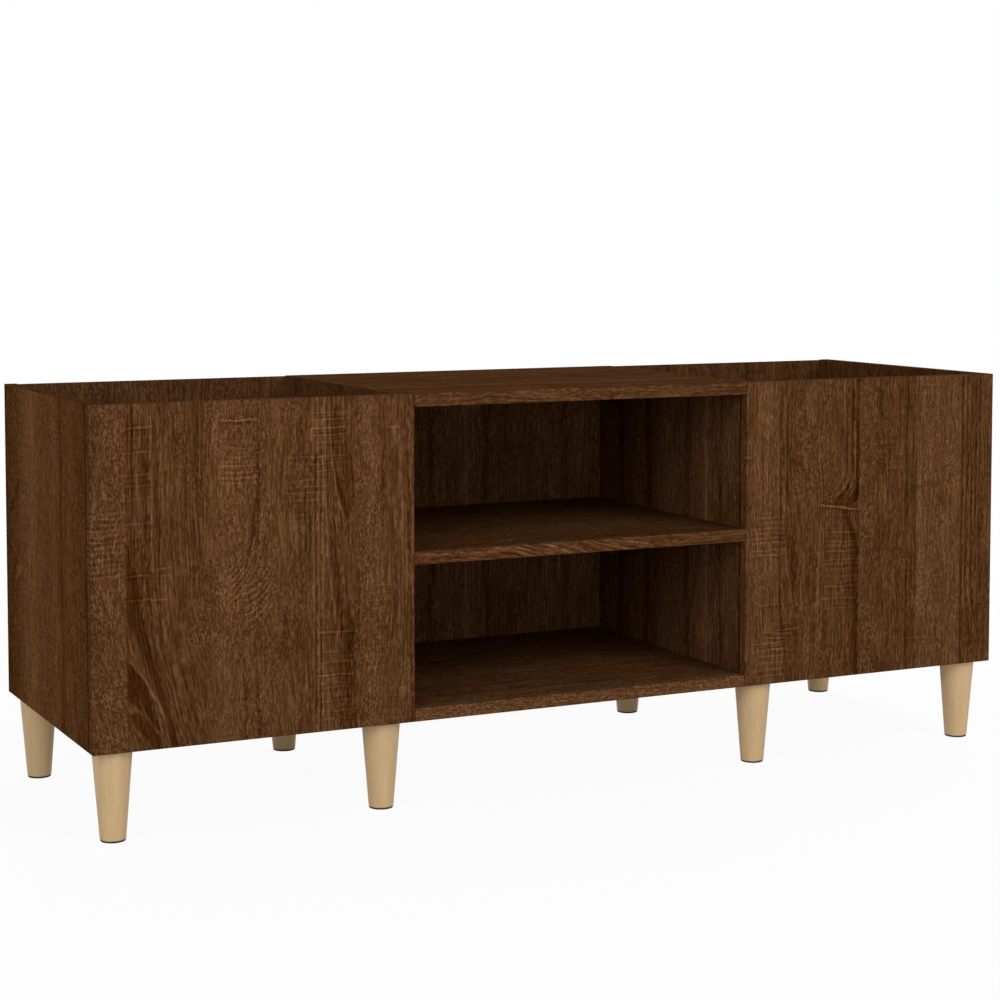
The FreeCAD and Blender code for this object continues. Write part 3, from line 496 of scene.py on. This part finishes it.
# The shelf, from its top front corner, and its front edge, which shows slanting strokes.
SHELF = Figure(
    tones=[(0, -3), (8, -2), (15, -4), (16, -5), (60, -2), (110, 3), (170, -3), (230, 2), (300, -2), (392, 0)],
    mottle=[(0, 0.15), (15, 0.2), (40, 0.5), (200, 0.3), (392, 0.5)],
    seams=[(118, -5, 455), (262, -5, 455)],
    bands=[
        Band(16, 0.9, [(58, 6, -1), (75, 7, 0.8), (110, 5, 1), (128, 6, 1), (140, 10, 1), (152, 14, 1),
                       (158, 16, -1)]),
        Band(16, 0.9, [(88, 2, -1), (110, 2.5, 0.9), (135, 3.5, 1), (150, 8, 1), (165, 13, 1), (172, 16, -1)]),
        Band(-16, 1, [(100, 8, -1), (120, 8.5, 1), (135, 12, 1), (142, 15, -1)]),
        Band(-16, 1, [(128, 1, -1), (145, 4, 1), (158, 9, 1), (170, 14, 1), (176, 16, -1)]),
        Band(17, 0.9, [(165, 1, -1), (178, 4, 1), (190, 9, 1), (200, 13, 1), (207, 16, -1)]),
        Band(19, 1, [(203, 3, -1), (212, 7, 1.1), (222, 12, 1.1), (230, 16, -1)]),
        Band(-17, 1, [(210, 2, -1), (222, 6, 1.1), (232, 10, 1.1), (243, 15, -1)]),
        Band(16, 0.9, [(234, 3, -1), (245, 5, 0.9), (262, 9, 1), (276, 13, 1), (285, 16, -1)]),
        Band(-14, 1, [(250, 2, -1), (266, 6, 1), (284, 10, 1), (300, 14, -1)]),
        Band(15, 0.9, [(270, 3, -1), (288, 6, 0.9), (305, 9, 1), (322, 13, -1)]),
        Band(-10, 1, [(310, 2, -1), (330, 4, 1), (352, 7, 1), (368, 9, -1)]),
        Band(10, 0.9, [(330, 9, -1), (350, 10, 0.9), (375, 8, 1), (400, 9, 1), (420, 10, -1)]),
        Band(10, 0.9, [(8, 4, -1), (20, 4.5, 0.8), (50, 5, 0.8), (66, 5, -1)]),
        Band(10, 0.9, [(4, 11, -1), (16, 11, 0.8), (60, 12, 0.8), (96, 12, -1)]),
        Band(-9, 0.9, [(4, 8, -1), (16, 8, 0.8), (60, 9, 0.8), (84, 9, -1)]),
    ],
    marks=[Marks(120, 160, 0.05, [(60, 9), (68, 11), (75, 10), (83, 9), (90, 8)])],
    lean=([(50, 0), (100, 4), (150, 20), (280, 56), (340, 64), (455, 66)], [(0, 1), (60, 1), (392, 0.3)]),
)

# The floor board of the bay, from its top front corner: its front edge is pale and speckled.
BOTTOM = Figure(
    tones=[(0, 6), (8, 9), (15, 7), (16, 2), (40, 4), (90, -2), (150, 3), (240, -3), (392, 0)],
    mottle=[(0, 0.9), (15, 0.9), (30, 0.2), (120, 0.5), (220, 0.2), (392, 0.5)],
    seams=[(64, -5, 455), (206, -5, 455)],
    bands=[
        Band(-10, 2, [(-5, 52, 2), (160, 54, 3), (320, 50, 2), (455, 52, 2)]),
        Band(9, 1.5, [(40, 78, -1), (120, 76, 2), (300, 80, 2), (380, 79, -1)]),
        Band(-9, 2, [(120, 132, -1), (220, 134, 3), (400, 130, 2), (455, 131, 2)]),
    ],
    marks=[Marks(84, 128, 0.03, [(262, 10), (270, 13), (277, 12), (285, 14), (293, 9)])],
)

# The partition at the right of the bay, from the front of its inner face to the back, and the bay's back.
PARTITION_RIGHT = Figure(
    tones=[(0, -3), (30, 3), (55, 0), (84, 10), (100, 2), (140, -2), (180, 4), (215, -8), (250, -2), (290, -11),
           (330, -5), (362, -9)],
    mottle=[(0, 0.3), (80, 0.1), (150, 0.5), (220, 0.2), (300, 0.4), (362, 0.2)],
    seams=[(66, -5, 385), (206, -5, 385)],
    bands=[
        Band(-12, 2, [(-5, 44, 2), (200, 46, 3), (385, 42, 2)]),
        Band(12, 2, [(-5, 78, 2), (120, 80, 3), (300, 79, 2), (385, 80, 2)]),
        Band(-10, 3, [(-5, 124, 4), (240, 128, 6), (385, 122, 4)]),
        Band(-13, 4, [(-5, 232, 5), (130, 226, 7), (385, 234, 5)]),
        Band(-11, 3, [(-5, 306, 6), (200, 300, 8), (385, 304, 6)]),
    ],
    marks=[Marks(150, 196, 0.02, [(236, 8), (244, 11), (251, 10), (259, 9)])],
)
BAY_BACK = Figure(
    tones=[(0, -5), (50, 2), (90, -4), (140, 4), (185, -2), (230, 3), (262, 5), (300, -5), (350, 0), (400, 3),
           (460, -5)],
    mottle=[(0, 0.5), (60, 0.2), (110, 0.8), (180, 0.6), (230, 0.1), (330, 0.3), (460, 0.2)],
    seams=[(76, -5, 385), (212, -5, 385), (342, -5, 385)],
    bands=[
        Band(-12, 3, [(-5, 20, 4), (200, 24, 6), (385, 18, 4)]),
        Band(-12, 2, [(-5, 108, 2), (120, 104, 4), (260, 110, 3), (385, 106, 2)]),
        Band(-12, 2, [(-5, 196, 3), (180, 200, 4), (385, 194, 3)]),
        Band(-10, 2, [(-5, 284, 4), (160, 280, 5), (385, 286, 3)]),
        Band(10, 2, [(-5, 250, 2), (385, 252, 3)]),
        Band(-12, 3, [(-5, 400, 4), (385, 404, 6)]),
    ],
    marks=[],
)


def chance_figure(seed, width, length):
    """A figure drawn by chance for a board's face, of a width across the grain and a length along it."""
    draw = random.Random(seed)
    seams, bands, marks = [], [], []
    # Printed planks, some with a seam beside them.
    tones, mottle, place = [(0, draw.uniform(-3, 3))], [(0, draw.uniform(0, 0.6))], 0
    while place < width - 14:
        step = draw.uniform(10, 26)
        if draw.random() < 0.2:
            seams.append((place + 4, -5, length + 5))
            tones += [(place + 3.5, draw.uniform(0, 5)), (place + 4.5, draw.uniform(-8, -3))]
        place = min(place + step, width)
        tones.append((place, draw.uniform(-5, 6)))
        mottle.append((place, draw.uniform(0, 0.7)))
    if place < width:
        tones.append((width, 0))
        mottle.append((width, 0.5))
    # Streaks, one for every 20 mm of width.
    for _ in range(int(width / 20)):
        along, middle, tone = draw.uniform(-60, length * 0.7), draw.uniform(0, width), draw.choice((-15, -11, 10, 12))
        reach, half = draw.uniform(70, 240), draw.uniform(0.8, 2.0)
        points = [(along + reach * i / 4, middle + draw.uniform(-2, 2), half if 0 < i < 4 else -1) for i in range(5)]
        bands.append(Band(tone, 1.3, points))
    # A saw's marks, one group for every 30000 square millimetres.
    for _ in range(max(1, int(width * length / 30000))):
        left, top = draw.uniform(-10, width - 30), draw.uniform(0, length - 60)
        lines = [(top + 7.5 * i + draw.uniform(-2, 2), draw.uniform(8, 20)) for i in range(draw.randint(4, 9))]
        marks.append(Marks(left, left + draw.uniform(26, 48), draw.uniform(-0.05, 0.05), lines))
    return Figure(tones, mottle, seams, bands, marks)


@group
def in_band(across, middle, half, soft):
    """1 inside a band and 0 outside it."""
    return (half - (across - middle).size()).rise(soft * -1.0, soft * 0.6)


@group
def saw_level(across, along, left, tilt, bend):
    """How far down the board a place is, for a saw that ran at a tilt and in a bend."""
    start = across - left
    return along - start * (start * bend + tilt)


@group
def in_marks(across, patches, left, right):
    """1 where a saw left its marks, which end unevenly and are patchy, and 0 elsewhere."""
    start = (across + patches * 6).rise(left - 4, left + 2)
    return start * (across + patches * 8).rise(right + 4, right - 3) * patches.scaled(0.35, 1.0)


def grains(across, along, seed, wide, long, detail=0.0):
    """Noise about 0 with grains of a width and a length. Each kind has its own seed, so no two are alike."""
    return noise(across / wide, along / long, seed, detail)


@group
def patches_of(across, along, seed):
    """Longish patches along a saw's lines."""
    return grains(across, along, seed + 60.9, wide=9, long=3.5, detail=0.5)


@group
def threads_of(across, along, seed):
    """The fine lines among a saw's marks, from -1 to 1."""
    return grains(across, along, seed + 80.6, wide=16, long=1.7).crisp(0.6)


@group
def waver_of(across, along, seed):
    """How far a saw's lines waver along the board."""
    return grains(across, along, seed + 44.1, wide=20, long=30, detail=1.0) * 0.9


@group
def sway_of(across, along, seed):
    """How far the grain wanders to one side."""
    return grains(across, along, seed + 0.5, wide=70, long=150, detail=1.0) * 5.0


@group
def curl_of(across, along, mottle, seed):
    """How far curly grain wriggles to one side."""
    return grains(across, along, seed + 31.3, wide=14, long=18, detail=0.5) * mottle * 1.2


@group
def mottle_of(across, along, plan, seed):
    """How curly the grain is, from 0 to 1, where a plan across the board says about how much."""
    return (plan + grains(across, along, seed + 17.3, wide=30, long=60, detail=1.0) * 0.4).rise(0.0, 1.0)


@group
def clouds_of(across, along, seed):
    """The tone of wide soft patches."""
    return grains(across, along, seed + 12.9, wide=22, long=60, detail=1.5) * 3.2


@group
def dashes_of(grain, along, seed):
    """Short crisp fibres, from -1 to 1."""
    return grains(grain, along, seed + 7.7, wide=1.9, long=9).crisp(0.5)


@group
def fibres_of(grain, along, dashes, mottle, seed):
    """The tone of the fibres: long streaks where the grain is plain, and short flecks where it is curly."""
    streaks = grains(grain, along, seed + 3.1, wide=2.3, long=60, detail=0.7).crisp(0.7)
    flecks = grains(grain, along, seed + 9.3, wide=1.5, long=3.4).crisp(0.5)
    pores = grains(grain, along, seed + 21.0, wide=1.1, long=12).rise(0.5, 0.9)
    vigour = grains(grain, along, seed + 70.2, wide=16, long=28, detail=0.5).scaled(0.3, 1.0)
    tone = streaks * mottle.scaled(-6.5, 10.0) + dashes * mottle.scaled(-0.5, 7.5)
    tone += flecks * mottle.scaled(11.5, 1.5)
    return (tone * vigour - pores * 4.0).most(-13.0)


def saw_profile(marks):
    """The tones of a saw's lines, each pale between darker edges, as points of a curve along the board."""
    half, points = marks.half, []
    for place, line in marks.lines:
        if points and place - points[-1][0] > 5 * half:
            points.append((points[-1][0] + 2 * half, 0))
        if not points or place - points[-1][0] > 3 * half:
            points.append((place - 3 * half, 0))
        points += [(place - half, -line * SAW_EDGE), (place, line), (place + half, -line * SAW_EDGE)]
    return points + [(points[-1][0] + 2 * half, 0)]


def decor_tone(across, along, figure, seed):
    """The decor's tone over its middle tone, and the height of its grain, at a place in millimetres."""
    mottle = mottle_of(across, along, across.curve(figure.mottle, smooth=False), seed)
    grain = across + sway_of(across, along, seed)
    if figure.lean:
        shift, share = figure.lean
        grain -= along.curve(shift) * across.curve(share)
    grain += curl_of(across, along, mottle, seed)
    dashes = dashes_of(grain, along, seed)
    fibres = fibres_of(grain, along, dashes, mottle, seed)
    ragged = across + dashes * FRAY
    tone = across.curve(figure.tones, smooth=False) + clouds_of(across, along, seed)
    vigour = fibres.scaled(0.0, 1.0)
    for band in figure.bands:
        middle = along.curve([(place, spot) for place, spot, _ in band.points])
        half = along.curve([(place, half) for place, _, half in band.points])
        share = in_band(ragged, middle, half, band.soft)
        tone = share.scaled(band.tone, tone)
        if band.tone <= DARK_STREAK:
            vigour = share.scaled(-STREAK_FADE, vigour)
    tone += fibres * vigour.most(LEAST_FIBRES)
    for place, top, bottom in figure.seams:
        beside = in_band(across, place, SEAM_HALF, 0.7)
        tone += beside * along.rise(top - 2, top) * along.rise(bottom + 2, bottom) * SEAM_TONE
    sawn = along + waver_of(across, along, seed)
    patches = patches_of(across, along, seed)
    threads = threads_of(across, sawn, seed) * THREAD_TONE
    for marks in figure.marks:
        level = saw_level(across, sawn, marks.left, marks.tilt, marks.bend)
        lines = level.curve(saw_profile(marks), smooth=False) * SAW_STRENGTH
        first, last = marks.lines[0][0], marks.lines[-1][0]
        if last - first < THREAD_SPACING * len(marks.lines):
            lines += threads * level.rise(first - 6, first) * level.rise(last + 6, last)
        tone += lines * in_marks(across, patches, marks.left, marks.right)
    return tone, dashes


def raw_board(across, along, depth):
    """The colour of the bare chipboard inside a bore."""
    chips = noise(across / 2.2, along / 2.2, depth / 2.2, detail=2.0)
    stops = [(0, linear(112, 84, 52)), (0.5, linear(158, 126, 84)), (1, linear(196, 166, 120))]
    return ramp(chips * 0.25 + 0.5, stops)


def decor_colour(tone, redness, richness):
    """The linear colour of a tone. Dark tones are less colourful than pale ones."""
    growth = COLOUR_GROWTH * (tone - MIDDLE_TONE) + richness
    red_over_green = RED_OVER_GREEN + growth + redness
    green_over_blue = GREEN_OVER_BLUE + growth - redness
    green = tone - RED_SHARE * red_over_green + BLUE_SHARE * green_over_blue
    return linear(green + red_over_green, green, green - green_over_blue)


def decor_stops(redness, richness):
    """The stops of the ramp from the darkest tone to the palest."""
    tones = range(DARKEST, LIGHTEST + 1, TONE_STEP)
    return [((tone - DARKEST) / TONE_SPAN, decor_colour(tone, redness, richness)) for tone in tones]


def upright_places(wide, deep, above, from_left, from_front, from_top):
    """How far across the grain and along it a place of an upright board is.

    The edge bands on the board's top and bottom have their grain along them."""
    face = from_left + from_front
    band_along, band_across = (from_left, from_front) if wide > deep else (from_front, from_left)
    band = above.rise(0.2, 0.1)
    return face + (band_across - face) * band, from_top + (band_along - from_top) * band


def hardboard(x, z, seed):
    """The colour of the bare back of a thin board."""
    fibres = noise(x / MM / 1.6, z / MM / 1.6, seed, detail=2.0)
    wisps = noise(x / MM / 4, z / MM / 26, seed + 5.0, detail=3.0) + noise(x / MM / 60, z / MM / 90, seed + 8.0)
    stops = [(0, linear(72, 48, 28)), (0.5, linear(104, 74, 47)), (1, linear(132, 99, 68))]
    return ramp(fibres * 0.2 + wisps * 0.16 + 0.5, stops)


def decor_material(node, upright, figure, seed, joints=(), plain_back=False):
    """A decor for one board, whose grain stands upright or runs from left to right.

    It is darker along the edges that meet another board, which joints names: painted shade for the groove between
    them."""
    material, shader, (x, y, z) = new_material("decor_" + node)
    low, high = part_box(node)
    from_left, from_front, from_bottom = [value.scaled(1 / MM, -end / MM) for value, end in zip((x, y, z), low)]
    from_right, from_back, from_top = [value.scaled(-1 / MM, end / MM) for value, end in zip((x, y, z), high)]
    beside, between, above = from_left.least(from_right), from_front.least(from_back), from_bottom.least(from_top)
    if upright:
        wide, deep = high.x - low.x, high.y - low.y
        across, along = upright_places(wide, deep, above, from_left, from_front, from_top)
    else:
        across, along = from_front + from_top, from_left
    tone, grain = decor_tone(across, along, figure, seed)
    ends = {"front": from_front, "back": from_back, "sides": beside}
    # Painted shade along each joint, where the groove between the boards would lie in shadow.
    for end in joints:
        reach = SIDE_JOINT_REACH if end == "sides" else JOINT_REACH
        tone += ends[end].rise(reach, reach / 2) * JOINT_TONE
    brightness = tone.scaled(1 / TONE_SPAN, (MIDDLE_TONE - DARKEST) / TONE_SPAN)
    richness = SIDE_RICHNESS if node.startswith("side_panel") else 0.0
    golden, ruddy = [ramp(brightness, decor_stops(redness, richness)) for redness in (-HUE_REACH, HUE_REACH)]
    hue = grains(across, along, seed + 52.0, wide=26, long=60, detail=1.0).rise(-0.8, 0.8)
    colour = mixed(hue, golden, ruddy)
    depth = beside.least(between).least(above)
    colour = mixed(depth.rise(SKIN, SKIN + SKIN_EDGE), colour, raw_board(x / MM, y / MM, z / MM))
    if plain_back:
        colour = mixed(from_back.rise(0.6, 0.5), colour, hardboard(x, z, seed))
    finish_surface(shader, colour, grain.scaled(-0.05, DECOR_ROUGHNESS), grain, DECOR_RELIEF, gloss=DECOR_GLOSS)
    return material


# Other materials ------------------------------------------------------------------------------------


def leg_wood():
    """Pale wood with its grain upright."""
    material, shader, (x, y, z) = new_material("pale_leg_wood")
    sway = noise(x / 0.05, y / 0.05, z / 0.12, detail=1.0) * 0.0015
    fine = noise((x + sway) / 0.0011, (y + sway) / 0.0011, z / 0.045, detail=2.0)
    broad = noise((x + sway) / 0.006, (y + sway) / 0.006, z / 0.16, detail=1.5)
    pores = noise(x / 0.0006, y / 0.0006, z / 0.006, detail=1.0).rise(0.7, 1.3)
    shade = fine * 0.08 + broad * 0.08 - pores * 0.2 + 0.52
    colour = ramp(shade, [(0, linear(168, 136, 95)), (0.5, linear(195, 164, 122)), (1, linear(215, 190, 152))])
    finish_surface(shader, colour, fine * 0.03 + 0.5, fine - pores, 0.03 * MM, gloss=0.25)
    return material


def speckled(name, dark, light, grain, roughness, relief, metal=0.0, gloss=0.5):
    """A fine even surface whose colour and gloss vary a little, with grains of a size in metres."""
    material, shader, (x, y, z) = new_material(name)
    fine = noise(x / grain, y / grain, z / grain, detail=3.0, roughness=0.6)
    broad = noise(x / grain / 14, y / grain / 14, z / grain / 14, detail=1.0)
    colour = ramp(fine * 0.2 + broad * 0.12 + 0.5, [(0, linear(*dark)), (1, linear(*light))])
    finish_surface(shader, colour, fine * 0.04 + broad * 0.04 + roughness, fine, relief, metal, gloss)
    return material


# Dressing the frame ---------------------------------------------------------------------------------


def dress(node, material, slot):
    """Puts one material on a CAD node. The slot name it is given is not used."""
    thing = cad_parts[node]
    thing.data.materials.clear()
    thing.data.materials.append(material)


# Boards whose grain stands upright or lies level, and the ends of each kind that meet other boards and take painted
# shade there.
UPRIGHT_BOARDS = {"side_panel": ["front"], "partition": ["front"], "front_panel": ["back"]}
BACK_BOARDS = ["back_panel_left", "back_panel_centre", "back_panel_right"]
LEVEL_BOARDS = {"bin_floor_left": [], "bin_floor_right": [], "bottom_panel": ["sides"], "shelf": ["sides"],
                "top_panel": ["sides"]}
# The figures written above. Those of the other boards are drawn by chance.
PLANNED = {"front_panel_left": FRONT_LEFT, "front_panel_right": FRONT_RIGHT, "side_panel_left": SIDE_LEFT,
           "shelf": SHELF, "bottom_panel": BOTTOM, "partition_right": PARTITION_RIGHT, "back_panel_centre": BAY_BACK}


def dress_boards():
    """Each board gets a decor of its own."""
    boards = [(kind + hand, True, ends) for kind, ends in UPRIGHT_BOARDS.items() for hand in ("_left", "_right")]
    boards += [(node, True, []) for node in BACK_BOARDS]
    boards += [(node, False, ends) for node, ends in LEVEL_BOARDS.items()]
    for seed, (node, upright, ends) in enumerate(boards):
        low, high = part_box(node)
        width = (high.x - low.x + high.y - low.y if upright else high.y - low.y + high.z - low.z) / MM
        length = (high.z - low.z if upright else high.x - low.x) / MM
        figure = PLANNED.get(node) or chance_figure(seed, width, length)
        is_back = node in BACK_BOARDS
        slot = "oak_decor_backboard" if is_back else "oak_decor_board"
        dress(node, decor_material(node, upright, figure, 10.0 * seed, ends, is_back), slot)


def dress_fittings():
    """Legs, pads, metal fittings, dowels and caps."""
    wood = leg_wood()
    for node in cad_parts:
        if node.startswith(("leg_front", "leg_rear")):
            dress(node, wood, "leg_wood")
    felt = speckled("felt_pad", (38, 36, 34), (72, 68, 64), 0.0009, 0.9, 0.2 * MM, gloss=0.2)
    steel = speckled("zinc_plated", (168, 170, 172), (214, 214, 210), 0.004, 0.34, 0.005 * MM, metal=1.0)
    zinc = speckled("die_cast_zinc", (140, 141, 143), (184, 184, 182), 0.0015, 0.5, 0.02 * MM, metal=1.0)
    beech = speckled("beech", (196, 160, 116), (220, 190, 150), 0.002, 0.6, 0.03 * MM, gloss=0.3)
    plastic = speckled("brown_cap", (70, 44, 24), (96, 64, 40), 0.0006, 0.5, 0.01 * MM, gloss=0.3)
    dress("leg_glides", felt, "glide_felt")
    for node in ("leg_bolts", "leg_inserts", "cam_bolts", "back_panel_nails"):
        dress(node, steel, "zinc_plated_steel")
    dress("cam_locks", zinc, "cast_zinc")
    dress("wooden_dowels", beech, "dowel_wood")
    dress("cam_caps", plastic, "cap_plastic")


# Studio ---------------------------------------------------------------------------------------------


def make_camera():
    """The camera at the photograph's angle."""
    camera = bpy.data.objects.new("camera", bpy.data.cameras.new("camera"))
    camera.location = CAMERA_PLACE
    camera.rotation_euler = (math.pi / 2 - CAMERA_DIP, 0, CAMERA_TURN)
    camera.data.lens = LENS
    camera.data.shift_y = LENS_SHIFT
    camera.data.clip_end = 60
    bpy.context.scene.collection.objects.link(camera)
    bpy.context.scene.camera = camera


def make_lamp(name, place, width, strength):
    """A square lamp that faces the cabinet."""
    lamp = bpy.data.objects.new(name, bpy.data.lights.new(name, "AREA"))
    lamp.data.shape = "SQUARE"
    lamp.data.size = width
    lamp.data.energy = strength
    lamp.location = place
    lamp.rotation_euler = (Vector(LAMPS_FACE) - Vector(place)).to_track_quat("-Z", "Y").to_euler()
    bpy.context.scene.collection.objects.link(lamp)


def seen_directly(tree):
    """1 for what the camera sees directly, in a mirror or through glass, and 0 for light that bounces."""
    path = tree.nodes.new("ShaderNodeLightPath")
    rays = [Shade(tree, path.outputs[name]) for name in ("Is Camera Ray", "Is Glossy Ray", "Is Transmission Ray")]
    return rays[0].most(rays[1]).most(rays[2])


def make_world():
    """Even light from all round, and a white background."""
    world = bpy.data.worlds.new("studio")
    world.use_nodes = True
    tree = world.node_tree
    background = next(item for item in tree.nodes if item.type == "BACKGROUND")
    background.inputs["Color"].default_value = (1, 1, 1, 1)
    feed(tree, background.inputs["Strength"], seen_directly(tree) * (1 - WORLD_STRENGTH) + WORLD_STRENGTH)
    bpy.context.scene.world = world


def make_floor():
    """A wide white floor. It shows whiter than it is lit, most of all far off, and keeps the cabinet's shadow."""
    mesh = bpy.data.meshes.new("floor")
    corners = [(x * FLOOR_HALF, y * FLOOR_HALF, 0) for x, y in ((-1, -1), (1, -1), (1, 1), (-1, 1))]
    mesh.from_pydata(corners, [], [(0, 1, 2, 3)])
    floor = bpy.data.objects.new("floor", mesh)
    bpy.context.scene.collection.objects.link(floor)
    material = bpy.data.materials.new("pale_floor")
    material.use_nodes = True
    tree = material.node_tree
    tree.nodes.clear()
    matt = tree.nodes.new("ShaderNodeBsdfDiffuse")
    matt.inputs["Color"].default_value = (FLOOR_GREY, FLOOR_GREY, FLOOR_GREY, 1)
    glow = tree.nodes.new("ShaderNodeEmission")
    blend = tree.nodes.new("ShaderNodeMixShader")
    output = tree.nodes.new("ShaderNodeOutputMaterial")
    places = tree.nodes.new("ShaderNodeTexCoord")
    reach = tree.nodes.new("ShaderNodeVectorMath")
    reach.operation = "LENGTH"
    tree.links.new(places.outputs["Object"], reach.inputs[0])
    far = Shade(tree, reach.outputs["Value"]).rise(WHITENS_FROM, WHITENS_TO)
    whiteness = far.scaled(1 - NEAR_WHITENESS, NEAR_WHITENESS)
    feed(tree, blend.inputs["Fac"], seen_directly(tree) * whiteness)
    tree.links.new(matt.outputs[0], blend.inputs[1])
    tree.links.new(glow.outputs[0], blend.inputs[2])
    tree.links.new(blend.outputs[0], output.inputs["Surface"])
    mesh.materials.append(material)
    floor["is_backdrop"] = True


def make_studio():
    """Camera, lamps, world and floor."""
    make_camera()
    for name, (place, width, strength) in LAMPS.items():
        make_lamp(name, place, width, strength)
    make_world()
    make_floor()
    bpy.context.scene.view_settings.view_transform = "Standard"


dress_boards()
dress_fittings()
make_studio()

boxes = {"cad": [list(corner) for corner in cad_box], "visual": [list(corner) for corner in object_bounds()]}
